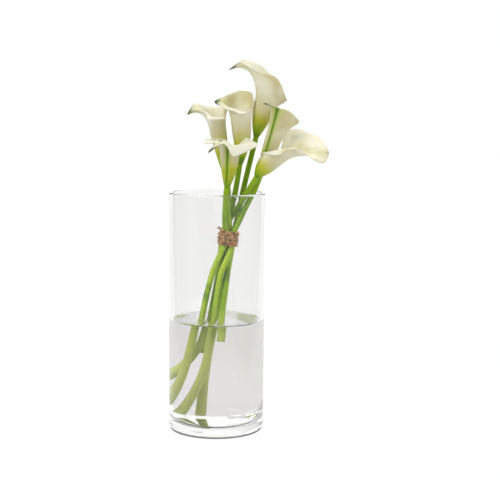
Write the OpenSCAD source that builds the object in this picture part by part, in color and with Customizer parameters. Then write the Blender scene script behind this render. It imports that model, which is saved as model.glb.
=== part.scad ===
// Glass cylinder vase, dressed: water, and six calla lilies tied with twine.
// Millimetres, +Z up, origin at the centre of the vase's foot.

/* [Vase] */
// Outer diameter of the glass
vase_d = 120; // [112:1:150]
// Height from the table to the rim
vase_h = 300; // [270:1:340]
// Thickness of the side wall
wall = 4.6; // [3.6:0.1:5.6]
// Thickness of the glass floor
base_t = 9; // [7:0.5:14]
// Radius round the outside of the foot
foot_r = 7; // [4:0.5:8]
// Radius where the inner floor meets the wall
floor_r = 20; // [12:0.5:22]

/* [Water] */
// Height of the water above the glass floor
water_depth = 130; // [70:1:150]
// Height that the water creeps up the glass at its edge
meniscus = 1.4; // [0.6:0.1:2.5]
// Space left round the stems and the glass
water_gap = 0.3; // [0.2:0.05:0.6]

/* [Stems] */
// Diameter of a stem at the twine
stem_d = 7.2; // [6:0.1:7.4]
// Diameter of a stem at its cut foot
stem_foot_d = 8.4; // [7:0.1:8.8]
// Diameter of a stem at its flower
stem_neck_d = 6.8; // [5.5:0.1:7.4]
// Space between two stems where they are tied
stem_gap = 0.9; // [0.6:0.1:1.4]

/* [Tie] */
// Drop from the rim to the middle of the twine
tie_drop = 57.5; // [50:0.5:62]
// Shift of the tied bundle towards the flowers' side
tie_shift = 14.3; // [12:0.1:16]
// Lean of the bundle inside the twine, sideways for each unit of height
tie_lean = 0.15; // [0.1:0.01:0.2]
// Thickness of the twine
twine_d = 1.9; // [1.5:0.05:2]
// Number of turns round the stems
twine_turns = 9; // [7:1:10]
// Rise of the twine for each turn
twine_pitch = 2.1; // [2.05:0.05:2.4]
// Space between the twine and the stems
twine_gap = 0.3; // [0.2:0.05:0.6]

/* [Flowers] */
// Thickness of a petal
petal_t = 1; // [0.7:0.05:1.2]
// Length of the yellow spike inside a flower
spike_l = 32; // [24:1:36]
// Diameter of the spike
spike_d = 6; // [5:0.1:6.6]
// Diameter of the spike's foot
spike_foot_d = 4; // [3:0.1:4.2]

/* [Hidden] */

fine = 96;
inner_r = vase_d / 2 - wall;
water_z = base_t + water_depth;
tie_z = vase_h - tie_drop;
tie_half = (twine_turns * twine_pitch + twine_d) / 2;
ring_pitch = stem_d + stem_gap;

// ---- Routes of the stems, chosen by hand ---------------------------------------------
// foot:  [space to the glass, turn about the vase in degrees, height above the floor]
// below: places at the BELOW shares of the way from the foot up to the twine, [x, y]
// turn:  place in the ring of stems inside the twine in degrees, or "core" for the middle
// above: places at the ABOVE shares of the way from the twine up to the rim, and
// neck:  the flower's foot, both from the middle of the bundle; neck adds its rise over the rim
BELOW = [0.28, 0.56, 0.84];
ABOVE = [0.34, 0.66, 1];

TOP_ROUTE    = [[11, 109, 1.6], [[-10, 20], [-2, 10], [13, 12]], 40,
                [[10, 9], [14, 14], [17.5, 19]], [33.5, 22, 68.5]];
LEFT_ROUTE   = [[38, 290, 106], [[7, -7], [11, -6], [14.5, 1]], "core",
                [[0.5, -3.5], [-1, 0.5], [-1, 6]], [-5, 10, 24]];
MIDDLE_ROUTE = [[23, 120, 86], [[-8, 24], [-2, 19.5], [5, 13]], 100,
                [[0.9, 16.2], [4, 15.5], [8, 11]], [13.5, 7, 35]];
FRONT_ROUTE  = [[2.5, 145, 11.4], [[-28.5, 6], [-19, -2.5], [-5.5, -7]], 235,
                [[-4.5, -10], [-4, -13], [-3, -16]], [-2, -17, 7.5]];
RIGHT_ROUTE  = [[4, 145, 49], [[-15.5, 10], [-5.5, 2.5], [3, 3]], 161,
                [[-1.2, 5.2], [11, 0], [22.5, -11]], [34.5, -15, 20]];
REAR_ROUTE   = [[9, 133, 2.9], [[-12, 8], [-3.5, -5], [5, -8.5]], 318,
                [[12, -6], [20.5, -3.5], [31, 4]], [39, 6, 20]];
RING_TURNS = [for (r = [TOP_ROUTE, MIDDLE_ROUTE, RIGHT_ROUTE, FRONT_ROUTE, REAR_ROUTE]) r[2]];

// ---- Outlines of the petals, chosen by hand --------------------------------------------
// A petal is a sheet rolled into a funnel. RIM_AT runs round it from one edge (-1) over the
// tip (0) to the other edge (1).
// throat: middle of the funnel's mouth from the stem's top, then the funnel's radius there
// wrap:   how far the sheet reaches round the funnel on each side, in degrees
// rise, spread: how far each line of the petal runs on past the throat, and how far it
//         leans out in degrees, at -1, -0.5, 0, 0.5 and 1
// curl:   how sharply the petal turns over at its rim
// rim:    places on the rim at RIM_AT, from the stem's top
RIM_AT = [-1, -0.66, -0.36, -0.12, 0, 0.12, 0.36, 0.66, 1];
LINE_AT = [-1, -0.5, 0, 0.5, 1];

TOP_PETAL = [[10.5, -2, 37], 14, [172, 172],
    [14, 34, 58, 34, 14], [20, 16, 15, 16, 20], 0.72,
    [[34, 4, 41], [24.5, 24, 66], [6.5, 24, 88], [-17, 2, 95], [-34, -4, 82.5],
     [-22.5, -12, 91], [-1, -26, 81], [24.5, -24, 73.5], [37.5, -12, 45]]];
LEFT_PETAL = [[-9.5, 0, 54], 10.5, [172, 172],
    [20, 26, 30, 26, 20], [10, 12, -2, 12, 10], 0.75,
    [[2, 2, 77.5], [-7, 14, 81], [-23.5, 18, 81.5], [-39.5, 10, 84], [-47.5, 2, 71.5],
     [-39.5, -4, 77.5], [-25, -13, 74], [-19.5, -22, 66], [-1, -18, 66.5]]];
MIDDLE_PETAL = [[1.5, -2, 44.5], 12, [172, 172],
    [22, 28, 38, 28, 22], [10, 8, 0, 8, 10], 0.85,
    [[18, 4, 78], [11.5, 18, 89], [-6, 22, 89.5], [-20.5, 6, 82.5], [-32, -4, 76.5],
     [-24, -10, 71], [-10, -20, 65.5], [1, -26, 61], [14.5, -16, 68]]];
FRONT_PETAL = [[3, -1, 37], 11.5, [150, 185],
    [18, 24, 27, 26, 18], [22, 12, 2, 12, 16], 0.85,
    [[-3.5, 8, 59], [-24, 6, 59], [-28, -4, 53], [-13.5, -16, 53], [-22, -30, 43],
     [-5.5, -20, 52.5], [7.5, -20, 38.5], [37, -6, 51], [24, 3, 60]]];
RIGHT_PETAL = [[14, 1, 17.5], 12, [170, 85],
    [10, 24, 50, 34, 26], [0, 10, 10, 10, 0], 0.7,
    [[3.5, 3, 29], [25.5, -19, 28], [48.5, -23, 35], [79.5, -19, 18], [88, -5, 29.5],
     [83, 11, 42.5], [63, 31, 54.5], [45.5, 39, 58], [33, 37, 54]]];
REAR_PETAL = [[13.5, 0, 39], 10, [172, 172],
    [20, 32, 54, 32, 20], [10, 6, 2, 6, 10], 0.85,
    [[40, 16, 65], [32, 18, 83], [20.5, 4, 83.5], [14, -12, 87], [3, -22, 89.5],
     [18.5, -18, 85.5], [33.5, -14, 81], [48, -4, 68.5], [36, 8, 58.5]]];

STEM_SIDES = 8;
STEM_STEP = 13;          // height between two rings of a stem
TWINE_SIDES = 6;
TUBE_ROWS = 5;           // rows of a petal below the throat and above it
LIP_ROWS = 7;
PETAL_COLUMNS = 24;
TIP_CROWDING = 1.3;      // draws the petal's columns together at its tip
TUBE_SWELL = 1.6;        // how early the funnel widens
SEAM_TURN = 176;         // how far the sheet closes at the funnel's foot

// ---- Small sums ---------------------------------------------------------------------------
function unit(v) = v / norm(v);
function mix(a, b, t) = a + (b - a) * t;
function flat(lists) = [for (l = lists) for (v = l) v];
function span_of(keys, x) = max(0, min(len(keys) - 2, len([for (k = keys) if (k <= x) 1]) - 1));
function slope(keys, vals, i) =
    let (a = max(i - 1, 0), b = min(i + 1, len(keys) - 1)) (vals[b] - vals[a]) / (keys[b] - keys[a]);
// A smooth curve through vals at keys
function smooth(keys, vals, x) =
    let (i = span_of(keys, x), h = keys[i + 1] - keys[i], t = (x - keys[i]) / h)
    (2 * t ^ 3 - 3 * t ^ 2 + 1) * vals[i] + (t ^ 3 - 2 * t ^ 2 + t) * h * slope(keys, vals, i)
    + (3 * t ^ 2 - 2 * t ^ 3) * vals[i + 1] + (t ^ 3 - t ^ 2) * h * slope(keys, vals, i + 1);
function straight(keys, vals, x) =
    let (i = span_of(keys, x)) mix(vals[i], vals[i + 1], (x - keys[i]) / (keys[i + 1] - keys[i]));

// ---- Stems -----------------------------------------------------------------------------------
function bundle(z) = [tie_shift + tie_lean * (z - tie_z), 0];
function tied_at(turn) = turn == "core" ? [0, 0] : ring_pitch * [cos(turn), sin(turn)];
function foot_of(route) =
    let (r = inner_r - stem_foot_d / 2 - route[0][0])
    [r * cos(route[0][1]), r * sin(route[0][1]), base_t + route[0][2]];
function stations(route) =
    let (foot = foot_of(route), tied = tied_at(route[2]), neck = route[4])
    concat([foot],
           [for (i = [0:2]) let (p = route[1][i]) [p[0], p[1], mix(foot[2], tie_z - tie_half, BELOW[i])]],
           [for (side = [-1:1]) let (z = tie_z + side * tie_half, p = bundle(z) + tied) [p[0], p[1], z]],
           [for (i = [0:2]) let (p = route[3][i])
               [tie_shift + p[0], p[1], mix(tie_z, vase_h, ABOVE[i])]],
           [[tie_shift + neck[0], neck[1], vase_h + neck[2]]]);
function heights(route) = [for (p = stations(route)) p[2]];
function stem_at(route, z) = smooth(heights(route), stations(route), z);
function stem_r(route, z) =
    straight([heights(route)[0], tie_z, vase_h + route[4][2]],
             [stem_foot_d, stem_d, stem_neck_d], z) / 2;
function neck_of(route) = let (s = stations(route)) s[len(s) - 1];
function neck_way(route) =
    let (z = neck_of(route)[2]) unit(stem_at(route, z) - stem_at(route, z - 1));
function stem_levels(route) =
    let (h = heights(route), last = len(h) - 1)
    concat(flat([for (i = [0:last - 1]) let (n = max(1, ceil((h[i + 1] - h[i]) / STEM_STEP)))
                    [for (k = [0:n - 1]) mix(h[i], h[i + 1], k / n)]]), [h[last]]);
function across(way) = unit(cross([0, 1, 0], way));
function circle_at(centre, way, r, sides) =
    let (e1 = across(way), e2 = cross(way, e1))
    [for (k = [0:sides - 1]) centre + r * (cos(360 * k / sides) * e1 + sin(360 * k / sides) * e2)];
function stem_rings(route, grow) =
    let (levels = stem_levels(route), low = levels[0], high = levels[len(levels) - 1])
    [for (z = levels)
        circle_at(stem_at(route, z),
                  unit(stem_at(route, min(z + 1, high)) - stem_at(route, max(z - 1, low))),
                  stem_r(route, z) + grow, STEM_SIDES)];

// The water's bore round a stem goes on below the stem's cut foot
function bore_rings(route) =
    let (rings = stem_rings(route, water_gap))
    concat([[for (p = rings[0]) p - [0, 0, water_gap]]], rings);

// Closed solid through rings that all have as many points, its ends closed flat
module skin(rings) {
    n = len(rings[0]);
    last = (len(rings) - 1) * n;
    polyhedron(
        points = flat(rings),
        faces = concat(
            [[for (k = [0:n - 1]) k]],
            [[for (k = [n - 1:-1:0]) last + k]],
            [for (i = [0:len(rings) - 2]) for (k = [0:n - 1])
                let (a = i * n + k, b = i * n + (k + 1) % n) each [[a, a + n, b + n], [a, b + n, b]]]),
        convexity = 8);
}

module stem(route) {
    color("yellowgreen") skin(stem_rings(route, 0));
}

// ---- Petals --------------------------------------------------------------------------------
function curve2(a, b, c, t) = (1 - t) ^ 2 * a + 2 * t * (1 - t) * b + t ^ 2 * c;
function curve3(a, b, c, d, t) =
    (1 - t) ^ 3 * a + 3 * t * (1 - t) ^ 2 * b + 3 * t ^ 2 * (1 - t) * c + t ^ 3 * d;
function column_at(k) =
    let (t = 2 * k / PETAL_COLUMNS - 1) sign(t) * abs(t) ^ TIP_CROWDING;
function around(way, tip, turn) =
    let (e1 = unit(tip - way * (tip * way)), e2 = cross(way, e1)) cos(turn) * e1 + sin(turn) * e2;
function petal_rows(route, petal) =
    let (neck = neck_of(route), throat = neck + petal[0],
         bend = neck + neck_way(route) * norm(petal[0]) / 2,
         tip = neck + petal[6][4] - throat,
         mouth_way = unit(throat - bend),
         neck_r = stem_neck_d / 2)
    concat(
        [for (j = [0:TUBE_ROWS]) let (s = j / TUBE_ROWS,
             way = unit(mix(bend - neck, throat - bend, s)),
             r = mix(neck_r, petal[1], 1 - (1 - s) ^ TUBE_SWELL))
            [for (k = [0:PETAL_COLUMNS]) let (u = column_at(k),
                 turn = u * mix(SEAM_TURN, petal[2][u < 0 ? 0 : 1], s))
                curve2(neck, bend, throat, s) + r * around(way, tip, turn)]],
        [for (j = [1:LIP_ROWS]) let (s = j / LIP_ROWS)
            [for (k = [0:PETAL_COLUMNS]) let (u = column_at(k),
                 out = around(mouth_way, tip, u * petal[2][u < 0 ? 0 : 1]),
                 edge = throat + petal[1] * out,
                 rim = neck + smooth(RIM_AT, petal[6], u),
                 rise = straight(LINE_AT, petal[3], u),
                 spread = straight(LINE_AT, petal[4], u),
                 crest = edge + rise * (cos(spread) * mouth_way + sin(spread) * out),
                 start = edge + rise / 2 * (cos(spread / 3) * mouth_way + sin(spread / 3) * out))
                curve3(edge, start, mix(rim, crest, petal[5]), rim, s)]]);
function step_in(rows, j, k) =
    let (last_j = len(rows) - 1, last_k = len(rows[0]) - 1,
         along = rows[j][min(k + 1, last_k)] - rows[j][max(k - 1, 0)],
         up = rows[min(j + 1, last_j)][k] - rows[max(j - 1, 0)][k])
    rows[j][k] - petal_t * unit(cross(along, up));

// A sheet of even thickness: the outer grid, and one a petal's thickness inside it
module petal_solid(rows) {
    n = len(rows);
    m = len(rows[0]);
    inside = n * m;
    inner = [for (j = [0:n - 1]) [for (k = [0:m - 1]) step_in(rows, j, k)]];
    polyhedron(
        points = concat(flat(rows), flat(inner)),
        faces = concat(
            flat([for (j = [0:n - 2]) for (k = [0:m - 2]) let (a = j * m + k, b = a + m)
                [[a, b, b + 1], [a, b + 1, a + 1],
                 [inside + a, inside + b + 1, inside + b], [inside + a, inside + a + 1, inside + b + 1]]]),
            flat([for (k = [0:m - 2]) let (a = k, b = (n - 1) * m + k)
                [[a, a + 1, inside + a + 1], [a, inside + a + 1, inside + a],
                 [b, inside + b + 1, b + 1], [b, inside + b, inside + b + 1]]]),
            flat([for (j = [0:n - 2]) let (a = j * m, b = a + m - 1)
                [[a, inside + a + m, a + m], [a, inside + a, inside + a + m],
                 [b, b + m, inside + b + m], [b, inside + b + m, inside + b]]])),
        convexity = 10);
}

module spathe(route, petal) {
    color("ivory") petal_solid(petal_rows(route, petal));
}

// ---- Spikes --------------------------------------------------------------------------------
// The spike stands on its stem's top, which its foot's middle touches, and leans with the funnel
module spadix(route, petal) {
    way = neck_way(route);
    foot_h = spike_l / 4;
    translate(neck_of(route))
        rotate([0, acos(way[2]), atan2(way[1], way[0])])
            color("gold") rotate_extrude($fn = 24) difference() {
                union() {
                    polygon([[0, 0], [spike_foot_d / 2, 0], [spike_foot_d / 2, foot_h / 2],
                             [spike_d / 2, foot_h], [spike_d / 2, spike_l - spike_d / 2],
                             [0, spike_l - spike_d / 2]]);
                    translate([0, spike_l - spike_d / 2]) circle(d = spike_d, $fn = 24);
                }
                translate([-spike_d, -spike_d]) square([spike_d, spike_l + 2 * spike_d]);
            }
}

// ---- Glass and water -------------------------------------------------------------------------
// Half outline of the glass, drawn once and spun: foot, wall, full round rim, bore and floor
module vase_glass() {
    outer_r = vase_d / 2;
    color("lightcyan", 0.4) rotate_extrude($fn = fine) {
        difference() {
            union() {
                square([outer_r - foot_r, base_t]);
                translate([0, foot_r]) square([outer_r, vase_h - foot_r - wall / 2]);
                translate([outer_r - foot_r, foot_r]) circle(r = foot_r, $fn = fine);
            }
            translate([0, base_t]) square([inner_r - floor_r, vase_h]);
            translate([0, base_t + floor_r]) square([inner_r, vase_h]);
            translate([inner_r - floor_r, base_t + floor_r]) circle(r = floor_r, $fn = fine);
            translate([-outer_r, -1]) square([outer_r, vase_h + 2]);
        }
        translate([outer_r - wall / 2, vase_h - wall / 2]) circle(d = wall, $fn = 48);
    }
}

module water() {
    r = inner_r - water_gap;
    low = base_t + water_gap;
    color("lightblue", 0.3) difference() {
        rotate_extrude($fn = fine) {
            translate([0, low]) square([r - floor_r, water_z - low]);
            translate([0, low + floor_r]) square([r, water_z - low - floor_r]);
            intersection() {
                translate([r - floor_r, low + floor_r]) circle(r = floor_r, $fn = fine);
                square([r, water_z]);
            }
            polygon([[r - 2 * meniscus, water_z], [r, water_z], [r, water_z + meniscus]]);
        }
        for (route = [TOP_ROUTE, LEFT_ROUTE, MIDDLE_ROUTE, FRONT_ROUTE, RIGHT_ROUTE, REAR_ROUTE])
            skin(bore_rings(route));
    }
}

// ---- Twine -----------------------------------------------------------------------------------
// The twine lies on the outer stems of the ring: an arc round each, and straight between two
function mid_turn(a, b) = a + ((b - a + 360) % 360) / 2;
function ring_path() =
    let (n = len(RING_TURNS), reach = stem_d / 2 + twine_gap + twine_d / 2)
    flat([for (i = [0:n - 1])
        let (here = RING_TURNS[i],
             from = mid_turn(RING_TURNS[(i + n - 1) % n], here) - 360 * (RING_TURNS[(i + n - 1) % n] > here ? 1 : 0),
             to = mid_turn(here, RING_TURNS[(i + 1) % n]))
        [for (k = [0:2]) let (turn = mix(from, to, (k + 0.5) / 3))
            tied_at(here) + reach * [cos(turn), sin(turn)]]]);
module twine_binding() {
    loop = ring_path();
    n = len(loop);
    steps = twine_turns * n;
    way = unit([tie_lean, 0, 1]);
    points = [for (i = [0:steps])
        let (rise = (i / n - twine_turns / 2) * twine_pitch, p = loop[i % n])
        [tie_shift + tie_lean * rise + p[0], p[1], tie_z + rise - tie_lean * p[0]]];
    color("peru") skin([for (i = [0:steps])
        let (along = unit(points[min(i + 1, steps)] - points[max(i - 1, 0)]),
             out = unit(cross(along, way)), up = cross(along, out))
        [for (k = [0:TWINE_SIDES - 1]) let (a = 360 * k / TWINE_SIDES)
            points[i] + twine_d / 2 * (cos(a) * out + sin(a) * up)]]);
}

module top_stem() { stem(TOP_ROUTE); }
module top_spathe() { spathe(TOP_ROUTE, TOP_PETAL); }
module top_spadix() { spadix(TOP_ROUTE, TOP_PETAL); }
module left_stem() { stem(LEFT_ROUTE); }
module left_spathe() { spathe(LEFT_ROUTE, LEFT_PETAL); }
module left_spadix() { spadix(LEFT_ROUTE, LEFT_PETAL); }
module middle_stem() { stem(MIDDLE_ROUTE); }
module middle_spathe() { spathe(MIDDLE_ROUTE, MIDDLE_PETAL); }
module middle_spadix() { spadix(MIDDLE_ROUTE, MIDDLE_PETAL); }
module front_stem() { stem(FRONT_ROUTE); }
module front_spathe() { spathe(FRONT_ROUTE, FRONT_PETAL); }
module front_spadix() { spadix(FRONT_ROUTE, FRONT_PETAL); }
module right_stem() { stem(RIGHT_ROUTE); }
module right_spathe() { spathe(RIGHT_ROUTE, RIGHT_PETAL); }
module right_spadix() { spadix(RIGHT_ROUTE, RIGHT_PETAL); }
module rear_stem() { stem(REAR_ROUTE); }
module rear_spathe() { spathe(REAR_ROUTE, REAR_PETAL); }
module rear_spadix() { spadix(REAR_ROUTE, REAR_PETAL); }

vase_glass();
water();
twine_binding();
top_stem();
top_spathe();
top_spadix();
left_stem();
left_spathe();
left_spadix();
middle_stem();
middle_spathe();
middle_spadix();
front_stem();
front_spathe();
front_spadix();
right_stem();
right_spathe();
right_spadix();
rear_stem();
rear_spathe();
rear_spadix();
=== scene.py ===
import logging
import math
import random
from dataclasses import dataclass, field
from enum import Enum
from typing import Callable, Iterable, Sequence

import bmesh
import bpy
from bmesh.types import BMesh
from bpy.types import Material, Node, NodeSocket, NodeTree, Object
from mathutils import Matrix, Vector, noise
from mathutils.bvhtree import BVHTree


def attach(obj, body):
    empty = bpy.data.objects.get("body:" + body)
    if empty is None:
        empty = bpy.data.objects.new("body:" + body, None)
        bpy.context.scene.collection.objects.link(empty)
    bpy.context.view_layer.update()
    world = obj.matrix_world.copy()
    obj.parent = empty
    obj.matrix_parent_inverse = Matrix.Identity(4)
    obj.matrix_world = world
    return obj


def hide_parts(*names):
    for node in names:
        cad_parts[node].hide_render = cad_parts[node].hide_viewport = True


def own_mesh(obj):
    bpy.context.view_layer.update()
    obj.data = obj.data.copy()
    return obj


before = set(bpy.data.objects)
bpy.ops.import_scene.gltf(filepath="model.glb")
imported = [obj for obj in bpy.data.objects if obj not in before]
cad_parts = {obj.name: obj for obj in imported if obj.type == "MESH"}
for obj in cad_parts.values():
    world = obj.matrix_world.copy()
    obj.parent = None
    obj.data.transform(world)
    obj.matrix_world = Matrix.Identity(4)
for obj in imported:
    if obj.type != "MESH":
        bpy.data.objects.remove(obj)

logging.basicConfig(level=logging.INFO, format="%(message)s")
LOG = logging.getLogger("vase")

MM = 0.001
CREASE = math.radians(40)
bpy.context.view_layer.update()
IMAGE_SIDE = 500
WHITE = (1.0, 1.0, 1.0, 1.0)
# Runs of an outline longer than this get points this near to their ends, which keep them flat.
LONG_RUN = 3.0
HOLD = 0.3

Pair = tuple[float, float]
Triple = tuple[float, float, float]
Tone = tuple[int, int, int]
Place = Callable[[float, float], Vector]

# What the photograph shows and where, in its own pixels.
IMAGE_POINTS: dict[str, tuple[float, float]] = {
    "object_left": (169.2, 420.0),
    "object_right": (328.4, 154.0),
    "object_top": (246.0, 60.0),
    "object_bottom": (216.0, 438.7),
    "rim_left": (170.7, 192.7),
    "rim_right": (264.0, 192.7),
    "rim_back": (218.3, 187.9),
    "rim_front": (218.3, 197.2),
    "water_back": (217.1, 311.2),
    "water_front": (217.0, 327.5),
    "top_tip": (229.4, 69.8),
    "left_tip": (187.4, 114.6),
    "middle_tip": (214.6, 102.0),
    "front_tip": (208.3, 152.8),
    "right_tip": (328.4, 154.0),
    "rear_tip": (263.2, 103.8),
    "twine_end": (217.0, 227.0),
}


# ---- Curves through stations -----------------------------


def unit(v: Vector) -> Vector:
    """The same direction, one long."""
    return v.normalized()


def turned(first: Vector, second: Vector, turn: float) -> Vector:
    """The direction at a turn in radians from first toward second, which is square to it."""
    return math.cos(turn) * first + math.sin(turn) * second


def polar(reach: float, turn: float, z: float = 0.0) -> Vector:
    """The place at a distance from the vase's axis, at a turn in degrees and a height."""
    swing = math.radians(turn)
    return Vector((reach * math.cos(swing), reach * math.sin(swing), z))


def mix(a, b, t: float):
    """The value that lies t of the way from a to b."""
    return a + (b - a) * t


def bow(t: float, start: Vector, middle: Vector, end: Vector) -> Vector:
    """The place at t on the arched line from start to end that middle pulls at."""
    return (1 - t) ** 2 * start + 2 * t * (1 - t) * middle + t**2 * end


def ease(t: float) -> float:
    """A soft step from 0 to 1 as t goes from 0 to 1."""
    t = min(max(t, 0.0), 1.0)
    return t * t * (3 - 2 * t)


def span_of(keys: Sequence[float], x: float) -> int:
    """The number of the stretch between two keys that x lies in."""
    return max(0, min(len(keys) - 2, sum(1 for key in keys if key <= x) - 1))


def smooth(keys: Sequence[float], values: Sequence, x: float):
    """A smooth curve through values at keys.

    Args:
        keys: rising numbers.
        values: a vector or number for each key.
        x: where to read the curve.

    Returns:
        The curve's vector or number at x.
    """
    last = len(keys) - 1

    def slope(i: int):
        a, b = max(i - 1, 0), min(i + 1, last)
        return (values[b] - values[a]) / (keys[b] - keys[a])

    i = span_of(keys, x)
    step = keys[i + 1] - keys[i]
    t = (x - keys[i]) / step
    return (
        (2 * t**3 - 3 * t**2 + 1) * values[i]
        + (t**3 - 2 * t**2 + t) * step * slope(i)
        + (3 * t**2 - 2 * t**3) * values[i + 1]
        + (t**3 - t**2) * step * slope(i + 1)
    )


def straight(keys: Sequence[float], values: Sequence[float], x: float) -> float:
    """Straight lines through values at keys, read at x."""
    i = span_of(keys, x)
    return mix(values[i], values[i + 1], (x - keys[i]) / (keys[i + 1] - keys[i]))


# ---- Meshes ----------------------------------------------


def wrap_sheet(bm: BMesh, across: int, along: int, place: Place) -> list:
    """Adds a grid and lays each of its points where place says, with matching UVs.

    Args:
        bm: the mesh to add to; it has a UV layer.
        across: faces across the sheet.
        along: faces along it.
        place: gives the point in millimetres for (u, v), each from 0 to 1.

    Returns:
        The new vertices.
    """
    grid = bmesh.ops.create_grid(bm, x_segments=across, y_segments=along, size=0.5)["verts"]
    layer = bm.loops.layers.uv.verify()
    for vert in grid:
        u, v = vert.co.x + 0.5, vert.co.y + 0.5
        for loop in vert.link_loops:
            loop[layer].uv = (u, v)
        vert.co = place(u, v) * MM
    return grid


def add_tube(
    bm: BMesh,
    path: Sequence[Vector],
    radius: Callable[[float], float],
    sides: int,
    up: Vector | None = None,
    capped: bool = True,
) -> None:
    """Adds a round tube along a path of points, closed at both ends.

    Args:
        bm: the mesh to add to.
        path: the middle line, in millimetres.
        radius: the radius for v from 0 at the start to 1 at the end.
        sides: faces round the tube.
        up: a direction that is nowhere along the path.
        capped: False leaves the ends open.
    """
    count = len(path) - 1
    up = up or Vector((0, 1, 0))
    frames = []
    for i, point in enumerate(path):
        way = unit(path[min(i + 1, count)] - path[max(i - 1, 0)])
        side = unit(up.cross(way))
        frames.append((point, side, way.cross(side)))

    def place(u: float, v: float) -> Vector:
        point, side, other = frames[round(v * count)]
        return point + radius(v) * turned(side, other, math.tau * u)

    verts = wrap_sheet(bm, sides, count, place)
    ends = [vert for vert in verts if vert.is_boundary]
    bmesh.ops.remove_doubles(bm, verts=ends, dist=1e-7)
    if capped:
        rim = {edge for vert in verts if vert.is_valid for edge in vert.link_edges if edge.is_boundary}
        bmesh.ops.holes_fill(bm, edges=list(rim), sides=0)


def spin_profile(bm: BMesh, profile: Iterable[Pair], steps: int) -> None:
    """Adds the solid that a half outline makes when it turns about Z.

    Args:
        bm: the mesh to add to.
        profile: radius and height of each point in millimetres; it starts and ends on the axis, and its
            long runs get a point near each end, so that smooth shading stays flat along them.
        steps: faces round the solid.
    """
    points = [Vector((radius, 0, height)) for radius, height in profile]
    held = points[:1]
    for a, b in zip(points, points[1:]):
        if (b - a).length > LONG_RUN:
            hold = unit(b - a) * HOLD
            held += [a + hold, b - hold]
        held.append(b)
    line = [bm.verts.new(point * MM) for point in held]
    edges = [bm.edges.new(pair) for pair in zip(line, line[1:])]
    bmesh.ops.spin(
        bm, geom=line + edges, cent=(0, 0, 0), axis=(0, 0, 1), dvec=(0, 0, 0), angle=math.tau, steps=steps,
        use_merge=True, use_normal_flip=False, use_duplicate=False,
    )
    bmesh.ops.remove_doubles(bm, verts=bm.verts[:], dist=1e-6)
    bmesh.ops.recalc_face_normals(bm, faces=bm.faces[:])


def arc(centre: Pair, radius: float, start: float, end: float, steps: int) -> list[Pair]:
    """Points on an arc of a half outline, its angles in degrees."""
    turns = [math.radians(mix(start, end, i / steps)) for i in range(steps + 1)]
    return [(centre[0] + radius * math.cos(t), centre[1] + radius * math.sin(t)) for t in turns]


def add_object(name: str, data: bpy.types.ID) -> Object:
    """Returns a new object of some data, linked to the scene."""
    obj = bpy.data.objects.new(name, data)
    bpy.context.scene.collection.objects.link(obj)
    return obj


def finish_mesh(bm: BMesh, name: str, materials: Sequence[Material]) -> Object:
    """Turns a bmesh into a smooth-shaded object at the origin.

    Args:
        bm: the mesh, which is freed.
        name: the piece's name.
        materials: its materials in slot order.

    Returns:
        The new object, linked to the scene.
    """
    for edge in bm.edges:
        edge.smooth = len(edge.link_faces) != 2 or edge.calc_face_angle(0) < CREASE
    for face in bm.faces:
        face.smooth = True
    mesh = bpy.data.meshes.new(name)
    bm.to_mesh(mesh)
    bm.free()
    for material in materials:
        mesh.materials.append(material)
    return add_object(name, mesh)


def place_piece(obj: Object, body: str, slot: str, *nodes: str) -> Object:
    """Hangs a finished piece on its body, in place of its CAD nodes."""
    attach(obj, body)
    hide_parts(*nodes)
    LOG.info("%s: %d faces, stands for %s", obj.name, len(obj.data.polygons), ", ".join(nodes))
    return obj


# ---- Finishes --------------------------------------------


def colour(red: int, green: int, blue: int) -> tuple[float, float, float, float]:
    """A screen colour of 0 to 255 as the linear colour that the shaders use."""
    parts = [c / 255 for c in (red, green, blue)]
    linear = [c / 12.92 if c <= 0.04045 else ((c + 0.055) / 1.055) ** 2.4 for c in parts]
    return (linear[0], linear[1], linear[2], 1.0)


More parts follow.
